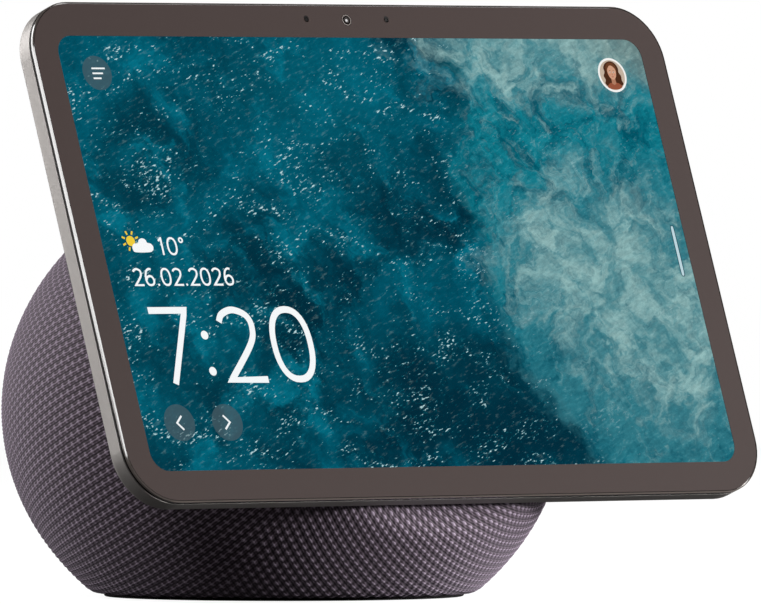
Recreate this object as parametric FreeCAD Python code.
import FreeCAD, Part
import os
from math import asin, cos, pi, radians, sin, sqrt

# A smart display: a thin tilted screen fixed to a knit-covered ball that holds the speakers and electronics.
# Millimetres. The origin is the centre of the foot on the table, +X to the right of a viewer facing the
# screen, -Y out of the screen side, +Z up.
#
# Shapes of the screen module are drawn in the screen's own axes: x right, y up along the glass, and depth
# measured backwards from the front of the glass. place_on_tilt() turns them into the object's frame.

V = FreeCAD.Vector
X_AXIS = V(1, 0, 0)
Y_AXIS = V(0, 1, 0)
Z_AXIS = V(0, 0, 1)
INCH = 25.4
BIG = 400.0  # longer than any piece, for cutting tools
TINY = 1e-3  # shorter than any real distance, for comparing positions

# --- screen module ------------------------------------------------------------------------------------
SCREEN_DIAGONAL = 8.7 * INCH
SCREEN_ASPECT = 1340 / 800
SCREEN_H = SCREEN_DIAGONAL / sqrt(1 + SCREEN_ASPECT**2)
SCREEN_W = SCREEN_H * SCREEN_ASPECT
SIDE_BORDER = 7.65
TOP_BORDER = 8.9
BOTTOM_BORDER = 8.1
GLASS_W = SCREEN_W + 2 * SIDE_BORDER
GLASS_H = SCREEN_H + TOP_BORDER + BOTTOM_BORDER
SCREEN_CENTRE_Y = (BOTTOM_BORDER - TOP_BORDER) / 2
CORNER_R = 14.0
SCREEN_CORNER_R = 5.0
TILT = 20.0  # degrees that the screen leans back

# depths behind the front of the glass
GLASS_BACK = 1.35
FILM_BACK = GLASS_BACK + 0.1
WALL_FRONT = 1.7
LCD_BACK = 2.35
BACKLIGHT_BACK = 3.75
TRAY_BACK = 4.25
MOUNT_PLATE_BACK = 5.15
FLOOR_FRONT = 5.2
SLAB_BACK = 6.6

GLASS_CHAMFER = 0.3
SLAB_EDGE_R = 1.4
WALL = 1.6
SEAM_INSET = 0.5
SEAM_WIDTH = 1.6

CAMERA_Y = GLASS_H / 2 - 4.25
CAMERA_WINDOW_R = 1.55
CAMERA_W = 6.0
CAMERA_H = 4.2
LENS_R = 1.45
MIC_X = 13.0
MIC_HOLE_R = 0.6

# --- ball ---------------------------------------------------------------------------------------------
BALL_R = 71.0
BALL_HALF_H = 62.6
BALL_Z = 46.8
SCREEN_STANDOFF = 56.5  # from the ball's centre to the front of the glass, square to the glass
SCREEN_RISE = 22.4  # from the ball's centre to the middle of the glass, up along the glass
FLAT_DEPTH = SLAB_BACK + 1.4  # the ball's flat, behind the front of the glass
FLAT_ROUND = 8.0
BOTTOM_ROUND = 2.5
FOOT_H = 1.4
KNIT = 1.6
SHELL = 2.5

# --- neck ---------------------------------------------------------------------------------------------
NECK_Y = -26.0  # middle of the neck on the screen's own y axis
NECK_R = 34.0
NECK_SCREW_X = 22.0
NECK_SCREW_Y = 10.0
CABLE_HOLE_R = 8.0
BRACKET_T = 1.5

# --- bottom -------------------------------------------------------------------------------------------
FOOT_R = 45.2
BASE_PLATE_R = 45.3
BASE_OPENING_R = 39.5
BASE_SCREW_RING_R = 42.6
BASE_SCREWS = 6

# --- power port, at the back --------------------------------------------------------------------------
PORT_Z = 20.0
PORT_BORE_R = 5.0
PORT_TUBE_R = 6.9
PORT_FLANGE_R = 8.4
PORT_SEAT_Y = 53.5
PORT_PROUD = 0.6
JACK_SIDE = 9.0
JACK_WELL_R = 3.0
JACK_PIN_R = 0.9

# --- electronics behind the neck ----------------------------------------------------------------------
BOARD_DEPTH = 18.0
BOARD_T = 1.6
BOARD_W = 60.0
BOARD_H = 62.0
BOARD_Y = -27.0
STANDOFF_X = 26.0
STANDOFF_Y = 27.0

# --- buttons on the right edge of the screen ----------------------------------------------------------
BUTTON_DEPTH = 3.5
BUTTON_THICK = 2.0
BUTTON_PROUD = 0.5
BUTTON_LIP = 0.5
BUTTONS = {"volume_up_button": (31.0, 11.0), "volume_down_button": (18.0, 11.0), "mic_off_button": (4.0, 7.0)}

CLEAR = 0.1  # gap around a part that moves or is pushed in

# --- fasteners ----------------------------------------------------------------------------------------
SCREW_CLEAR = 0.05
NECK_SCREW_R = 1.5
WOOFER_SCREW_R = 1.25
BASE_SCREW_R = 1.1
BASE_SCREW_HEAD_R = 2.0
SMALL_SCREW_R = 1.0
BOSS_R = 3.0
BASE_BOSS_TOP = 11.0
WOOFER_BOSS = 8.0

# --- loudspeakers -------------------------------------------------------------------------------------
WOOFER = dict(
    flange_r=38.0,
    opening_r=31.0,
    cone_r=26.0,
    coil_r=12.0,
    magnet_r=21.0,
    flange_t=2.5,
    basket_depth=17.0,
    magnet_h=11.0,
    cone_depth=8.0,
    screw_ring_r=35.6,
)
FULL_RANGE = dict(
    flange_r=24.8,
    opening_r=19.0,
    cone_r=15.5,
    coil_r=7.0,
    magnet_r=14.0,
    flange_t=2.0,
    basket_depth=11.5,
    magnet_h=8.0,
    cone_depth=4.5,
    screw_ring_r=23.1,
)
WOOFER_Y = 40.0
WOOFER_Z = 54.0
BAFFLE_T = 2.5
DRIVER_REACH = 50.0  # from the ball's axis to the face a full-range driver is screwed to
DRIVER_Z = 52.0
DRIVER_TURN = 25.0  # degrees that each full-range driver turns towards the screen side
POD_R = 25.0
POD_BORE_R = 20.0


# --- helpers ------------------------------------------------------------------------------------------
def place_on_tilt(shape):
    """Turns a shape drawn in the screen's axes (x right, y up, -z deeper) into the object's frame."""
    lean = radians(TILT)
    up = V(0, sin(lean), cos(lean))
    out = V(0, -cos(lean), sin(lean))
    middle = V(0, 0, BALL_Z) + out * SCREEN_STANDOFF + up * SCREEN_RISE
    turn = FreeCAD.Rotation(X_AXIS, 90 - TILT)
    placed = shape.copy()
    placed.Placement = FreeCAD.Placement(middle, turn)
    return placed


def rod(start, end, radius):
    """A cylinder between two points."""
    along = end - start
    return Part.makeCylinder(radius, along.Length, start, along)


def tube(start, end, outer, inner):
    return rod(start, end, outer).cut(rod(start, end, inner))


def post(x, y, front, back, radius):
    """A cylinder square to the screen, in the screen's axes, between two depths."""
    return rod(V(x, y, -front), V(x, y, -back), radius)


def block(x, y, width, height, front, back):
    """A box in the screen's axes, centred on x and y, between two depths."""
    return Part.makeBox(width, height, back - front, V(x - width / 2, y - height / 2, -back))


def rounded_plate(width, height, radius, front, back, centre_y=0.0):
    """A plate with round corners in the screen's axes, between two depths."""
    plate = block(0, centre_y, width, height, front, back)
    return plate.makeFillet(radius, upright_edges(plate))


def upright_edges(shape):
    """The edges of a plate in the screen's axes that run from its front to its back."""
    return [e for e in shape.Edges if abs(e.tangentAt(e.FirstParameter).z) > 0.9]


def slab_plate(inset, front, back):
    """A plate with the slab's outline, made smaller by inset on every side."""
    return rounded_plate(GLASS_W - 2 * inset, GLASS_H - 2 * inset, CORNER_R - inset, front, back)


def edges_at_depth(shape, depth):
    """The edges of a shape in the screen's axes that lie wholly at one depth."""
    found = []
    for edge in shape.Edges:
        box = edge.BoundBox
        if abs(box.ZMin + depth) < TINY and abs(box.ZMax + depth) < TINY:
            found.append(edge)
    return found


def screw(head_at, direction, radius, length, head_r, head_h):
    """A pan-head screw with a cross slot. head_at is under the head; direction is the way it is driven."""
    way = V(direction).normalize()
    shank = rod(head_at, head_at + way * length, radius)
    head = rod(head_at - way * head_h, head_at, head_r)
    body = shank.fuse(head).removeSplitter()
    return body.cut(cross_slot(head_at - way * head_h, way, head_r, head_h / 2))


def countersunk_screw(face_at, direction, radius, length, head_r):
    """A flat-head screw whose head ends flush at face_at."""
    way = V(direction).normalize()
    head_h = head_r - radius
    head = Part.makeCone(head_r, radius, head_h, face_at, way)
    shank = rod(face_at, face_at + way * length, radius)
    body = shank.fuse(head).removeSplitter()
    return body.cut(cross_slot(face_at, way, head_r, head_h / 2))


def cross_slot(at, way, head_r, depth):
    """Two crossed bars that cut the driver recess into a screw head."""
    width = head_r / 3
    length = head_r * 1.2
    bar = Part.makeBox(length, width, depth, V(-length / 2, -width / 2, 0))
    other = Part.makeBox(width, length, depth, V(-width / 2, -length / 2, 0))
    cross = bar.fuse(other)
    cross.Placement = FreeCAD.Placement(at, FreeCAD.Rotation(Z_AXIS, way))
    return cross


def revolve_outline(points):
    """Turns a closed outline of (radius, height) points about the z axis."""
    corners = [V(r, 0, z) for r, z in points]
    face = Part.Face(Part.makePolygon(corners + corners[:1]))
    return face.revolve(V(0, 0, 0), Z_AXIS, 360)


# --- the ball and its layers --------------------------------------------------------------------------
def ball(inset):
    """The ball with a flat bottom and a flat for the screen, every face moved inwards by inset."""
    radius = BALL_R - inset
    half_h = BALL_HALF_H - inset
    floor = FOOT_H + inset
    centre = V(0, 0, BALL_Z)
    ellipse = Part.Ellipse(centre + Y_AXIS * radius, centre + Z_AXIS * half_h, centre)
    side = Part.ArcOfEllipse(ellipse, -asin((BALL_Z - floor) / half_h), pi / 2)
    foot = V(0, 0, floor)
    bottom = Part.makeLine(foot, side.StartPoint)
    axis = Part.makeLine(side.EndPoint, foot)
    outline = Part.Wire([bottom, side.toBSpline().toShape(), axis])
    solid = Part.Face(outline).revolve(V(0, 0, 0), Z_AXIS, 360)
    before_flat = place_on_tilt(block(0, 0, BIG, BIG, FLAT_DEPTH + inset - BIG, FLAT_DEPTH + inset))
    solid = solid.cut(before_flat)
    flat_rim = [e for e in solid.Edges if on_flat(e, FLAT_DEPTH + inset)]
    solid = solid.makeFillet(FLAT_ROUND - inset, flat_rim)
    if inset < BOTTOM_ROUND:
        bottom_rim = [e for e in solid.Edges if e.BoundBox.ZMax < floor + TINY and e.Length > BALL_R]
        solid = solid.makeFillet(BOTTOM_ROUND - inset, bottom_rim)
    return solid


def on_flat(edge, depth):
    """True if the whole edge lies on the plane parallel to the glass at that depth."""
    lean = radians(TILT)
    out = V(0, -cos(lean), sin(lean))
    level = V(0, 0, BALL_Z).dot(out) + SCREEN_STANDOFF - depth
    start = edge.FirstParameter
    step = (edge.LastParameter - start) / 6
    return all(abs(edge.valueAt(start + step * i).dot(out) - level) < TINY for i in range(7))


KNIT_OUTSIDE = ball(0)
HOUSING_OUTSIDE = ball(KNIT)
HOUSING_INSIDE = ball(KNIT + SHELL)


def knit_sleeve():
    """The fabric tube pulled over the housing, open at the neck, at the bottom and at the power port."""
    sleeve = KNIT_OUTSIDE.cut(HOUSING_OUTSIDE)
    sleeve = sleeve.cut(place_on_tilt(post(0, NECK_Y, 0, FLAT_DEPTH + 2 * KNIT, NECK_R)))
    sleeve = sleeve.cut(rod(V(0, 0, 0), V(0, 0, FOOT_H + 2 * KNIT), BASE_PLATE_R + CLEAR))
    return sleeve.cut(rod(V(0, PORT_SEAT_Y, PORT_Z), V(0, BIG, PORT_Z), PORT_TUBE_R))


def base_screw_places():
    turns = [2 * pi * i / BASE_SCREWS for i in range(BASE_SCREWS)]
    return [V(cos(turn), sin(turn), 0) * BASE_SCREW_RING_R for turn in turns]


def neck_screw_places():
    return [(x, NECK_Y + y) for x in (-NECK_SCREW_X, NECK_SCREW_X) for y in (-NECK_SCREW_Y, NECK_SCREW_Y)]


def board_screw_places():
    return [(x, BOARD_Y + y) for x in (-STANDOFF_X, STANDOFF_X) for y in (-STANDOFF_Y, STANDOFF_Y)]


def driver_axis(side):
    """Unit vector along which a full-range driver fires; side is +1 for right and -1 for left."""
    turn = radians(DRIVER_TURN)
    return V(side * cos(turn), -sin(turn), 0)


def driver_seat(side):
    return V(0, 0, DRIVER_Z) + driver_axis(side) * DRIVER_REACH


def aim(shape, seat, axis):
    """Moves a speaker part drawn about z, with its mounting face at z 0, to its seat."""
    aimed = shape.copy()
    aimed.Placement = FreeCAD.Placement(seat, FreeCAD.Rotation(Z_AXIS, axis))
    return aimed


def sound_slots(radius, width, pitch):
    """Parallel slots inside a circle, drawn about z and long enough to pass through the wall."""
    count = int(radius // pitch)
    bars = []
    for i in range(-count, count + 1):
        reach = sqrt(max(radius**2 - (abs(i * pitch) + width / 2) ** 2, 1))
        bars.append(Part.makeBox(2 * reach, width, BALL_R, V(-reach, i * pitch - width / 2, 1)))
    return Part.makeCompound(bars)


def housing_shell():
    """The hard shell under the knit, with the neck face, baffle, driver pods, bosses and sound slots."""
    shell = HOUSING_OUTSIDE.cut(HOUSING_INSIDE)
    shell = shell.fuse(place_on_tilt(post(0, NECK_Y, FLAT_DEPTH, FLAT_DEPTH + KNIT + SHELL, NECK_R)))

    keep_in = ball(KNIT + SHELL / 2)
    baffle = Part.makeBox(BIG, BAFFLE_T, BIG, V(-BIG / 2, WOOFER_Y, -BIG / 2))
    extras = [baffle]
    for side in (-1, 1):
        seat = driver_seat(side)
        extras.append(rod(seat, seat + driver_axis(side) * BALL_R, POD_R))
    for place in base_screw_places():
        extras.append(rod(place + Z_AXIS * FOOT_H, place + Z_AXIS * BASE_BOSS_TOP, BOSS_R))
    for place in woofer_screw_places():
        extras.append(rod(place, place + Y_AXIS * WOOFER_BOSS, BOSS_R))
    for x, y in board_screw_places():
        extras.append(place_on_tilt(post(x, y, FLAT_DEPTH + KNIT, BOARD_DEPTH, BOSS_R)))
    for extra in extras:
        shell = shell.fuse(extra.common(keep_in))

    cuts = [rod(V(0, 0, 0), V(0, 0, FOOT_H + KNIT + SHELL + 0.5), BASE_OPENING_R)]
    woofer_back = V(0, WOOFER_Y + BAFFLE_T, WOOFER_Z)
    cuts.append(rod(woofer_back - Y_AXIS * (BAFFLE_T + 1), woofer_back + Y_AXIS, WOOFER["opening_r"]))
    cuts.append(aim(sound_slots(WOOFER["opening_r"] - 1, 3.0, 6.0), woofer_back, Y_AXIS))
    for side in (-1, 1):
        seat = driver_seat(side)
        cuts.append(rod(seat - driver_axis(side), seat + driver_axis(side) * 7, POD_BORE_R))
        cuts.append(driver_chamber(side))
        cuts.append(aim(sound_slots(POD_BORE_R - 1, 2.6, 5.0), seat, driver_axis(side)))
        for place in driver_screw_places(side):
            cuts.append(rod(place, place + driver_axis(side) * 6, SMALL_SCREW_R + SCREW_CLEAR))
    for place in base_screw_places():
        cuts.append(rod(place, place + Z_AXIS * (BASE_BOSS_TOP - 1), BASE_SCREW_R + SCREW_CLEAR))
    for place in woofer_screw_places():
        cuts.append(rod(place - Y_AXIS, place + Y_AXIS * (WOOFER_BOSS - 1), WOOFER_SCREW_R + SCREW_CLEAR))
    inside = FLAT_DEPTH + KNIT + SHELL
    for x, y in board_screw_places():
        cuts.append(place_on_tilt(post(x, y, inside, BOARD_DEPTH + 1, SMALL_SCREW_R + SCREW_CLEAR)))
    for x, y in neck_screw_places():
        cuts.append(place_on_tilt(post(x, y, 0, BOARD_DEPTH, NECK_SCREW_R + SCREW_CLEAR)))
    for place in power_screw_places():
        cuts.append(rod(place - Y_AXIS * BAFFLE_T, place + Y_AXIS, SMALL_SCREW_R + SCREW_CLEAR))
    cuts.append(place_on_tilt(post(0, NECK_Y, 0, BOARD_DEPTH, CABLE_HOLE_R)))
    cuts.append(rod(V(0, PORT_SEAT_Y - 2, PORT_Z), V(0, BIG, PORT_Z), PORT_TUBE_R))
    for tool in cuts:
        shell = shell.cut(tool)
    return shell


def driver_chamber(side):
    """The hollow in front of a full-range driver, up to the inside of the shell wall."""
    seat = driver_seat(side)
    return rod(seat, seat + driver_axis(side) * BALL_R, POD_BORE_R).common(HOUSING_INSIDE)


# --- screen module ------------------------------------------------------------------------------------
def cover_glass():
    """Glass with a ground chamfer round the front, and two holes for the microphones."""
    glass = slab_plate(0, 0, GLASS_BACK)
    glass = glass.makeChamfer(GLASS_CHAMFER, edges_at_depth(glass, 0))
    for x in (-MIC_X, MIC_X):
        glass = glass.cut(post(x, CAMERA_Y, -1, GLASS_BACK + 1, MIC_HOLE_R))
    return glass


def decor_film():
    """The printed border behind the glass, open at the picture, the camera and the microphones."""
    film = slab_plate(SEAM_INSET, GLASS_BACK, FILM_BACK)
    film = film.cut(rounded_plate(SCREEN_W, SCREEN_H, SCREEN_CORNER_R, 0, SLAB_BACK, SCREEN_CENTRE_Y))
    film = film.cut(post(0, CAMERA_Y, 0, SLAB_BACK, CAMERA_WINDOW_R))
    for x in (-MIC_X, MIC_X):
        film = film.cut(post(x, CAMERA_Y, 0, SLAB_BACK, MIC_HOLE_R))
    return film


def edge_gasket():
    """The dark adhesive ring in the seam between the glass and the rear cover."""
    inside = slab_plate(SEAM_INSET + SEAM_WIDTH, 0, SLAB_BACK)
    return slab_plate(SEAM_INSET, FILM_BACK, WALL_FRONT).cut(inside)


LCD_MARGIN = 1.35
LCD_LEDGE = 2.4  # the lower margin, wider because it carries the driver chips
LCD_W = SCREEN_W + 2 * LCD_MARGIN
LCD_H = SCREEN_H + LCD_MARGIN + LCD_LEDGE
LCD_Y = SCREEN_CENTRE_Y + (LCD_MARGIN - LCD_LEDGE) / 2


def lcd_panel():
    """The liquid-crystal cell with the row of driver chips on its lower ledge."""
    cell = block(0, LCD_Y, LCD_W, LCD_H, FILM_BACK, LCD_BACK)
    ledge_y = LCD_Y - LCD_H / 2
    return cell.cut(block(0, ledge_y, LCD_W, 4.0, LCD_BACK - 0.45, LCD_BACK))


def backlight_unit():
    """The light guide and reflector tray behind the cell."""
    return block(0, LCD_Y, LCD_W, LCD_H, LCD_BACK, BACKLIGHT_BACK)


TRAY_RIM = 0.8
TRAY_CORNER_R = 2.0


def mid_frame():
    """A metal tray that holds the cell and backlight and stiffens the slab."""
    width = LCD_W + 2 * (TRAY_RIM + CLEAR)
    height = LCD_H + 2 * (TRAY_RIM + CLEAR)
    outer = rounded_plate(width, height, TRAY_CORNER_R, FILM_BACK, TRAY_BACK, LCD_Y)
    tray = outer.cut(block(0, LCD_Y, LCD_W + 2 * CLEAR, LCD_H + 2 * CLEAR, 0, BACKLIGHT_BACK))
    window = rounded_plate(50, 34, 4, BACKLIGHT_BACK - 1, TRAY_BACK + 1)
    for x in (-60, 60):
        for y in (-30, 20):
            tray = tray.cut(window.translated(V(x, y, 0)))
    return tray


def mount_plate():
    """A steel plate inside the rear cover that the neck screws bite into."""
    plate = rounded_plate(72, 52, 5, TRAY_BACK, MOUNT_PLATE_BACK, NECK_Y)
    plate = plate.cut(post(0, NECK_Y, 0, SLAB_BACK, CABLE_HOLE_R))
    plate = plate.cut(block(0, NECK_Y + 20, 13, 40, 0, SLAB_BACK))
    for x, y in neck_screw_places():
        plate = plate.cut(post(x, y, 0, SLAB_BACK, NECK_SCREW_R + SCREW_CLEAR))
    return plate


def rear_cover():
    """The tub behind the glass: side wall, rounded back edge, holes for the neck and the buttons."""
    tub = slab_plate(0, WALL_FRONT, SLAB_BACK)
    tub = tub.makeFillet(SLAB_EDGE_R, edges_at_depth(tub, SLAB_BACK))
    tub = tub.cut(slab_plate(WALL, 0, FLOOR_FRONT))
    tub = tub.cut(post(0, NECK_Y, 0, SLAB_BACK + 1, CABLE_HOLE_R))
    for x, y in neck_screw_places():
        tub = tub.cut(post(x, y, 0, SLAB_BACK + 1, NECK_SCREW_R + SCREW_CLEAR))
    for y, length in BUTTONS.values():
        tub = tub.cut(button_bar(y, length, GLASS_W / 2 - WALL - 1, GLASS_W / 2 + 1, CLEAR))
    return tub


def button_bar(y, length, start, end, grow):
    """A bar with round ends through the right wall, from x start to x end, thicker by grow all round."""
    radius = BUTTON_THICK / 2 + grow
    half = length / 2 - BUTTON_THICK / 2
    depth = -BUTTON_DEPTH
    bar = Part.makeBox(end - start, 2 * half, 2 * radius, V(start, y - half, depth - radius))
    for end_y in (y - half, y + half):
        bar = bar.fuse(rod(V(start, end_y, depth), V(end, end_y, depth), radius))
    return bar.removeSplitter()


BUTTON_FLANGE_BACK = GLASS_W / 2 - WALL - 0.65


def button(name):
    """A key cap that passes through the side wall, with a lip behind the wall that keeps it in."""
    y, length = BUTTONS[name]
    outside = GLASS_W / 2
    cap = button_bar(y, length, BUTTON_FLANGE_BACK, outside + BUTTON_PROUD, 0)
    rim = [e for e in cap.Edges if e.BoundBox.XMin > outside + BUTTON_PROUD - 1e-3]
    cap = cap.makeFillet(0.3, rim)
    lip = button_bar(y, length, BUTTON_FLANGE_BACK, outside - WALL - 0.05, BUTTON_LIP)
    return cap.fuse(lip).removeSplitter()


TRAY_SIDE = LCD_W / 2 + TRAY_RIM + CLEAR
BUTTON_BOARD_T = 0.8
SWITCH_TOP = BUTTON_FLANGE_BACK - 0.35


def button_board():
    """A narrow circuit board on the side of the mid frame."""
    ys = [y for y, _ in BUTTONS.values()]
    low = min(ys) - 5
    high = max(ys) + 6
    return Part.makeBox(BUTTON_BOARD_T, high - low, 2.8, V(TRAY_SIDE, low, -BUTTON_DEPTH - 1.4))


def button_switches():
    """Three tact switches, one behind each button."""
    start = TRAY_SIDE + BUTTON_BOARD_T
    switches = []
    for y, _ in BUTTONS.values():
        body = Part.makeBox(SWITCH_TOP - start - 0.4, 3.2, 2.4, V(start, y - 1.6, -BUTTON_DEPTH - 1.2))
        plunger = rod(V(start, y, -BUTTON_DEPTH), V(SWITCH_TOP, y, -BUTTON_DEPTH), 0.8)
        switches.append(body.fuse(plunger).removeSplitter())
    return Part.makeCompound(switches)


def camera_module():
    """The camera body with a round well for the lens barrel."""
    body = block(0, CAMERA_Y, CAMERA_W, CAMERA_H, 1.6, 4.9)
    return body.cut(post(0, CAMERA_Y, 0, 4.0, LENS_R + 0.05))


def camera_lens():
    """The lens barrel: a stepped ring with a domed front element."""
    front = 1.5
    back = 4.0
    mouth_r = 1.25
    element_r = 0.7
    barrel = post(0, CAMERA_Y, front, back, LENS_R)
    funnel = Part.makeCone(mouth_r, element_r, element_r, V(0, CAMERA_Y, -front), Z_AXIS * -1)
    dome = Part.makeSphere(1.1, V(0, CAMERA_Y, -2.9)).common(post(0, CAMERA_Y, front, back, element_r))
    return barrel.cut(funnel).fuse(dome).removeSplitter()


def microphone(side):
    """A microphone capsule under its hole in the glass, with a sound port."""
    body = block(side * MIC_X, CAMERA_Y, 3.5, 2.7, FILM_BACK, 2.6)
    return body.cut(post(side * MIC_X, CAMERA_Y, 0, 2.2, 0.45))


def display_board():
    """The circuit board that drives the panel, on the back of the mid frame."""
    board = block(0, 14, 64, 16, TRAY_BACK, TRAY_BACK + 0.5)
    for x in (-20, 20):
        board = board.fuse(block(x, 14, 9, 9, TRAY_BACK + 0.5, TRAY_BACK + 0.85))
    return board


CABLE_T = 0.25
CABLE_W = 11.0


def display_cable():
    """The flat cable from the display board, down behind the slab and through the neck to the main board."""
    lay = FLOOR_FRONT - CABLE_T - 0.1
    bend = 2.0
    top = 8.0
    turn_y = NECK_Y + 1
    run = block(0, (top + turn_y + bend) / 2, CABLE_W, top - turn_y - bend, lay, lay + CABLE_T)
    start = V(-CABLE_W / 2, turn_y + bend, -lay - bend)
    ring = tube(start, start + X_AXIS * CABLE_W, bend, bend - CABLE_T)
    quarter = Part.makeBox(CABLE_W, 10, 10, start + V(0, -10, 0))
    dive_front = lay + bend
    dive = block(0, turn_y + CABLE_T / 2, CABLE_W, CABLE_T, dive_front, BOARD_DEPTH - 2)
    return run.fuse(ring.common(quarter)).fuse(dive).removeSplitter()


# --- neck ---------------------------------------------------------------------------------------------
def neck_pad():
    """A soft pad between the back of the slab and the ball's neck face."""
    pad = post(0, NECK_Y, SLAB_BACK, FLAT_DEPTH, NECK_R - 0.5).cut(post(0, NECK_Y, 0, BIG, CABLE_HOLE_R))
    for x, y in neck_screw_places():
        pad = pad.cut(post(x, y, 0, BIG, NECK_SCREW_R + SCREW_CLEAR))
    return pad


def neck_bracket():
    """A steel plate inside the housing that spreads the load of the neck screws."""
    front = FLAT_DEPTH + KNIT + SHELL
    plate = rounded_plate(58, 34, 4, front, front + BRACKET_T, NECK_Y)
    plate = plate.cut(post(0, NECK_Y, 0, BIG, CABLE_HOLE_R))
    for x, y in neck_screw_places():
        plate = plate.cut(post(x, y, 0, BIG, NECK_SCREW_R + SCREW_CLEAR))
    return plate


def neck_screws():
    head_depth = FLAT_DEPTH + KNIT + SHELL + BRACKET_T
    length = head_depth - TRAY_BACK - 0.1
    heads = [V(x, y, -head_depth) for x, y in neck_screw_places()]
    return Part.makeCompound([screw(head, Z_AXIS, NECK_SCREW_R, length, 2.8, 2.0) for head in heads])


# --- bottom -------------------------------------------------------------------------------------------
def rubber_foot():
    foot = rod(V(0, 0, 0), V(0, 0, FOOT_H), FOOT_R)
    rim = [e for e in foot.Edges if e.BoundBox.ZMax < 1e-3]
    return foot.makeFillet(0.5, rim)


def base_plate():
    """The bottom cover: a rim that carries the screws and a hub that centres in the housing."""
    rim_top = FOOT_H + KNIT
    plate = rod(V(0, 0, FOOT_H), V(0, 0, rim_top), BASE_PLATE_R)
    plate = plate.fuse(rod(V(0, 0, FOOT_H), V(0, 0, rim_top + 1.6), BASE_OPENING_R - CLEAR)).removeSplitter()
    for place in base_screw_places():
        face = place + Z_AXIS * FOOT_H
        plate = plate.cut(rod(face, face + Z_AXIS * BASE_BOSS_TOP, BASE_SCREW_R + SCREW_CLEAR))
        sink_h = BASE_SCREW_HEAD_R - BASE_SCREW_R
        plate = plate.cut(Part.makeCone(BASE_SCREW_HEAD_R, BASE_SCREW_R, sink_h, face, Z_AXIS))
    return plate


def base_screws():
    faces = [place + Z_AXIS * FOOT_H for place in base_screw_places()]
    screws = [countersunk_screw(face, Z_AXIS, BASE_SCREW_R, 8, BASE_SCREW_HEAD_R) for face in faces]
    return Part.makeCompound(screws)


# --- power --------------------------------------------------------------------------------------------
def port_bezel():
    """The moulded collar round the power port, shaped to the ball and slightly proud of the knit."""
    reach = V(0, BALL_R + 2, PORT_Z)
    seat = V(0, PORT_SEAT_Y, PORT_Z)
    proud = ball(-PORT_PROUD)
    collar = rod(seat, reach, PORT_FLANGE_R).common(proud).cut(KNIT_OUTSIDE)
    sleeve = rod(seat, reach, PORT_TUBE_R).common(proud)
    return sleeve.fuse(collar).removeSplitter().cut(rod(seat, reach, PORT_BORE_R))


def power_jack():
    """The power socket behind the port: a square body, a round well and a centre pin."""
    back = WOOFER_Y + BAFFLE_T + BOARD_T
    mouth = V(0, PORT_SEAT_Y, PORT_Z)
    well_end = mouth - Y_AXIS * 8.5
    corner = V(-JACK_SIDE / 2, back, PORT_Z - JACK_SIDE / 2)
    body = Part.makeBox(JACK_SIDE, PORT_SEAT_Y - back, JACK_SIDE, corner)
    return body.cut(rod(well_end, mouth, JACK_WELL_R)).fuse(rod(well_end, mouth - Y_AXIS, JACK_PIN_R))


POWER_BOARD_Z = 11.0
POWER_BOARD_W = 32.0
POWER_BOARD_H = 11.4


def power_screw_places():
    y = WOOFER_Y + BAFFLE_T
    reach = POWER_BOARD_W / 2 - 3
    return [V(x, y, POWER_BOARD_Z + 3) for x in (-reach, reach)]


def power_board():
    """A small circuit board on the back of the baffle that carries the socket."""
    front = WOOFER_Y + BAFFLE_T
    corner = V(-POWER_BOARD_W / 2, front, POWER_BOARD_Z)
    board = Part.makeBox(POWER_BOARD_W, BOARD_T, POWER_BOARD_H, corner)
    for x in (-9, 9):
        capacitor = V(x, front + BOARD_T, POWER_BOARD_Z + 6)
        board = board.fuse(rod(capacitor, capacitor + Y_AXIS * 6, 2.5))
    for place in power_screw_places():
        board = board.cut(rod(place - Y_AXIS, place + Y_AXIS * 4, SMALL_SCREW_R + SCREW_CLEAR))
    return board


def power_board_screws():
    heads = [place + Y_AXIS * BOARD_T for place in power_screw_places()]
    return Part.makeCompound([screw(head, Y_AXIS * -1, SMALL_SCREW_R, 3.8, 1.9, 1.2) for head in heads])


# --- electronics --------------------------------------------------------------------------------------
BOARD_BACK = BOARD_DEPTH + BOARD_T
SHIELD_BACK = BOARD_BACK + 2.2
PAD_BACK = SHIELD_BACK + 0.8


def main_board():
    """The main circuit board with its connectors and a few tall components."""
    board = rounded_plate(BOARD_W, BOARD_H, 2, BOARD_DEPTH, BOARD_BACK, BOARD_Y)
    for x, y in board_screw_places():
        board = board.cut(post(x, y, 0, BIG, SMALL_SCREW_R + SCREW_CLEAR))
    board = board.fuse(block(0, NECK_Y + 1, 13, 4, BOARD_DEPTH - 2, BOARD_DEPTH))
    for x in (-18, -9, 9, 18):
        board = board.fuse(block(x, BOARD_Y - 25, 7, 5, BOARD_BACK, BOARD_BACK + 4))
    for x in (-22, 22):
        board = board.fuse(post(x, BOARD_Y + 14, BOARD_BACK, BOARD_BACK + 5, 3))
    return board


def processor_shield():
    """A pressed steel can over the processor, hollow inside."""
    can = block(0, BOARD_Y + 2, 30, 30, BOARD_BACK, SHIELD_BACK)
    can = can.makeFillet(0.8, upright_edges(can))
    return can.cut(block(0, BOARD_Y + 2, 29, 29, BOARD_BACK, SHIELD_BACK - 0.3))


def thermal_pad():
    return block(0, BOARD_Y + 2, 22, 22, SHIELD_BACK, PAD_BACK)


def heat_sink():
    """An aluminium block with upright fins."""
    sink = block(0, BOARD_Y + 2, 38, 36, PAD_BACK, PAD_BACK + 2)
    fins = 7
    pitch = 36 / (fins - 1)
    for i in range(fins):
        x = (i - (fins - 1) / 2) * pitch
        sink = sink.fuse(block(x, BOARD_Y + 2, 1.2, 36, PAD_BACK + 2, PAD_BACK + 7))
    return sink.removeSplitter()


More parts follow.
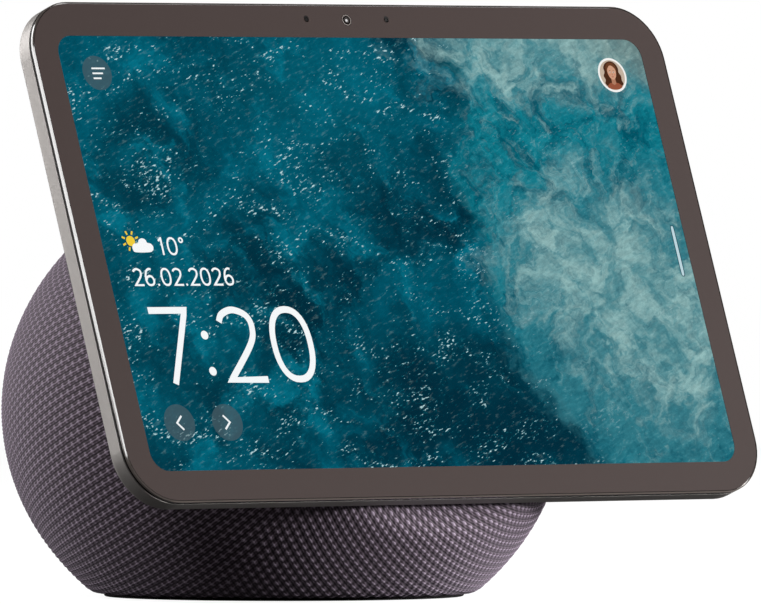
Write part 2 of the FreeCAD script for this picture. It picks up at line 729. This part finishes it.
def board_screws():
    heads = [V(x, y, -BOARD_BACK) for x, y in board_screw_places()]
    return Part.makeCompound([screw(head, Z_AXIS, SMALL_SCREW_R, 5.4, 1.9, 1.3) for head in heads])


# --- loudspeakers, drawn about z with the mounting face at z 0 and sound going up ---------------------
CONE_RIM_Z = -1.8


def basket(spec):
    """The frame of a driver: flange, four arms, spider ledge and floor ring."""
    lip = spec["opening_r"] + 0.5
    slope_top = -spec["flange_t"]
    floor_top = -spec["basket_depth"] + 2
    floor_r = spec["magnet_r"]
    wall = 1.6
    outline = [
        (spec["flange_r"], 0),
        (spec["flange_r"], slope_top),
        (lip + wall, slope_top),
        (floor_r, floor_top),
        (floor_r, floor_top - 2),
        (spec["coil_r"] + 2, floor_top - 2),
        (spec["coil_r"] + 2, floor_top),
        (floor_r - wall, floor_top),
        (lip, slope_top),
        (lip, 0),
    ]
    frame = revolve_outline(outline)
    window_w = spec["opening_r"]
    window_low = floor_top + 1
    window_h = slope_top - 1 - window_low
    for i in range(4):
        window = Part.makeBox(BIG, window_w, window_h, V(0, -window_w / 2, window_low))
        window.rotate(V(0, 0, 0), Z_AXIS, 90 * i)
        frame = frame.cut(window)
    for x, y in screw_ring(spec):
        frame = frame.cut(rod(V(x, y, -10), V(x, y, 10), 1.3))
    return frame


def screw_ring(spec):
    """The four screw places of a driver, between its windows."""
    reach = spec["screw_ring_r"] * cos(pi / 4)
    return [(x, y) for x in (-reach, reach) for y in (-reach, reach)]


def magnet(spec):
    """Plates, ring magnet and pole in one piece, with the ring-shaped gap for the coil."""
    top = -spec["basket_depth"]
    body = rod(V(0, 0, top), V(0, 0, top - spec["magnet_h"]), spec["magnet_r"])
    gap_end = V(0, 0, top - spec["magnet_h"] + 1.5)
    gap = tube(V(0, 0, top), gap_end, spec["coil_r"] + 1.3, spec["coil_r"] - 0.8)
    return body.cut(gap)


def moving_cone(spec):
    """The part that moves: diaphragm, dust cap, coil former and coil."""
    rim_z = CONE_RIM_Z
    apex_z = rim_z - spec["cone_depth"]
    skin = 0.6
    coil = spec["coil_r"]
    former = 0.4
    coil_end = -spec["basket_depth"] - spec["magnet_h"] / 2
    base_z = apex_z + 1.6
    cone = revolve_outline(
        [
            (spec["cone_r"] + 1, rim_z),
            (spec["cone_r"], rim_z),
            (coil + former, apex_z + skin),
            (coil + former, coil_end),
            (coil, coil_end),
            (coil, base_z),
            (coil + 0.7, base_z),
            (spec["cone_r"], rim_z + skin),
            (spec["cone_r"] + 1, rim_z + skin),
        ]
    )
    rise = coil * 0.3
    dome_r = (coil**2 + rise**2) / (2 * rise)
    centre_z = base_z + rise - dome_r
    dome = Part.makeSphere(dome_r, V(0, 0, centre_z)).cut(Part.makeSphere(dome_r - skin, V(0, 0, centre_z)))
    dome = dome.common(rod(V(0, 0, base_z - 0.5), V(0, 0, base_z + rise + 1), coil + 0.2))
    return cone.fuse(dome).removeSplitter()


def surround(spec):
    """The half-round rubber roll between the diaphragm and the frame."""
    inner = spec["cone_r"] + 1
    outer = spec["opening_r"] + 0.5
    middle = (inner + outer) / 2
    roll = (outer - inner) / 2
    skin = 0.5
    z = CONE_RIM_Z
    ring = Part.makeTorus(middle, roll, V(0, 0, z)).cut(Part.makeTorus(middle, roll - skin, V(0, 0, z)))
    keep = tube(V(0, 0, z), V(0, 0, z + BIG), outer, inner)
    return ring.common(keep)


def spider(spec):
    """The corrugated disc that centres the coil."""
    inner = spec["coil_r"] + 0.4
    z = -spec["basket_depth"] + 3.2
    outer = spec["magnet_r"] - 0.9
    waves = 3
    pitch = (outer - inner) / (2 * waves)
    depth = 0.8
    skin = 0.35
    top = [(inner + i * pitch, z + (depth if i % 2 else 0)) for i in range(2 * waves + 1)]
    low = [(r, height - skin) for r, height in reversed(top)]
    return revolve_outline(top + low)


def driver_screws(spec, radius, length):
    head_z = -spec["flange_t"]
    return Part.makeCompound(
        [screw(V(x, y, head_z), Z_AXIS, radius, length, radius * 1.7, radius) for x, y in screw_ring(spec)]
    )


def woofer_screw_places():
    seat = V(0, WOOFER_Y, WOOFER_Z)
    turn = FreeCAD.Rotation(Z_AXIS, Y_AXIS)
    return [seat + turn.multVec(V(x, y, 0)) for x, y in screw_ring(WOOFER)]


def driver_screw_places(side):
    turn = FreeCAD.Rotation(Z_AXIS, driver_axis(side))
    return [driver_seat(side) + turn.multVec(V(x, y, 0)) for x, y in screw_ring(FULL_RANGE)]


def speaker_parts(name, spec, seat, axis, screw_radius, screw_length):
    """Every piece of one driver, aimed and named."""
    drawn = {
        "basket": basket(spec),
        "magnet": magnet(spec),
        "cone": moving_cone(spec),
        "surround": surround(spec),
        "spider": spider(spec),
        "screws": driver_screws(spec, screw_radius, screw_length),
    }
    return {f"{name}_{piece}": aim(shape, seat, axis) for piece, shape in drawn.items()}


# --- everything ---------------------------------------------------------------------------------------
def build():
    on_screen = {
        "cover_glass": cover_glass(),
        "decor_film": decor_film(),
        "edge_gasket": edge_gasket(),
        "lcd_panel": lcd_panel(),
        "backlight_unit": backlight_unit(),
        "mid_frame": mid_frame(),
        "mount_plate": mount_plate(),
        "rear_cover": rear_cover(),
        "button_board": button_board(),
        "button_switches": button_switches(),
        "camera_module": camera_module(),
        "camera_lens": camera_lens(),
        "microphone_left": microphone(-1),
        "microphone_right": microphone(1),
        "display_board": display_board(),
        "display_cable": display_cable(),
        "neck_pad": neck_pad(),
        "neck_bracket": neck_bracket(),
        "neck_screws": neck_screws(),
        "main_board": main_board(),
        "processor_shield": processor_shield(),
        "thermal_pad": thermal_pad(),
        "heat_sink": heat_sink(),
        "board_screws": board_screws(),
    }
    for name in BUTTONS:
        on_screen[name] = button(name)
    parts = {name: place_on_tilt(shape) for name, shape in on_screen.items()}
    in_ball = {
        "knit_sleeve": knit_sleeve(),
        "housing_shell": housing_shell(),
        "rubber_foot": rubber_foot(),
        "base_plate": base_plate(),
        "base_screws": base_screws(),
        "port_bezel": port_bezel(),
        "power_jack": power_jack(),
        "power_board": power_board(),
        "power_board_screws": power_board_screws(),
    }
    parts.update(in_ball)
    woofer_seat = V(0, WOOFER_Y, WOOFER_Z)
    parts.update(speaker_parts("woofer", WOOFER, woofer_seat, Y_AXIS, WOOFER_SCREW_R, 9))
    for side, word in ((-1, "left"), (1, "right")):
        name = f"driver_{word}"
        seat = driver_seat(side)
        parts.update(speaker_parts(name, FULL_RANGE, seat, driver_axis(side), SMALL_SCREW_R, 7))
    return parts


os.makedirs("parts", exist_ok=True)
for part_name, shape in build().items():
    valid = shape.isValid()
    solids = len(shape.Solids)
    print(f"{part_name:22s} solids {solids} valid {valid} volume {shape.Volume:10.1f}")
    shape.exportStep(f"parts/{part_name}.step")
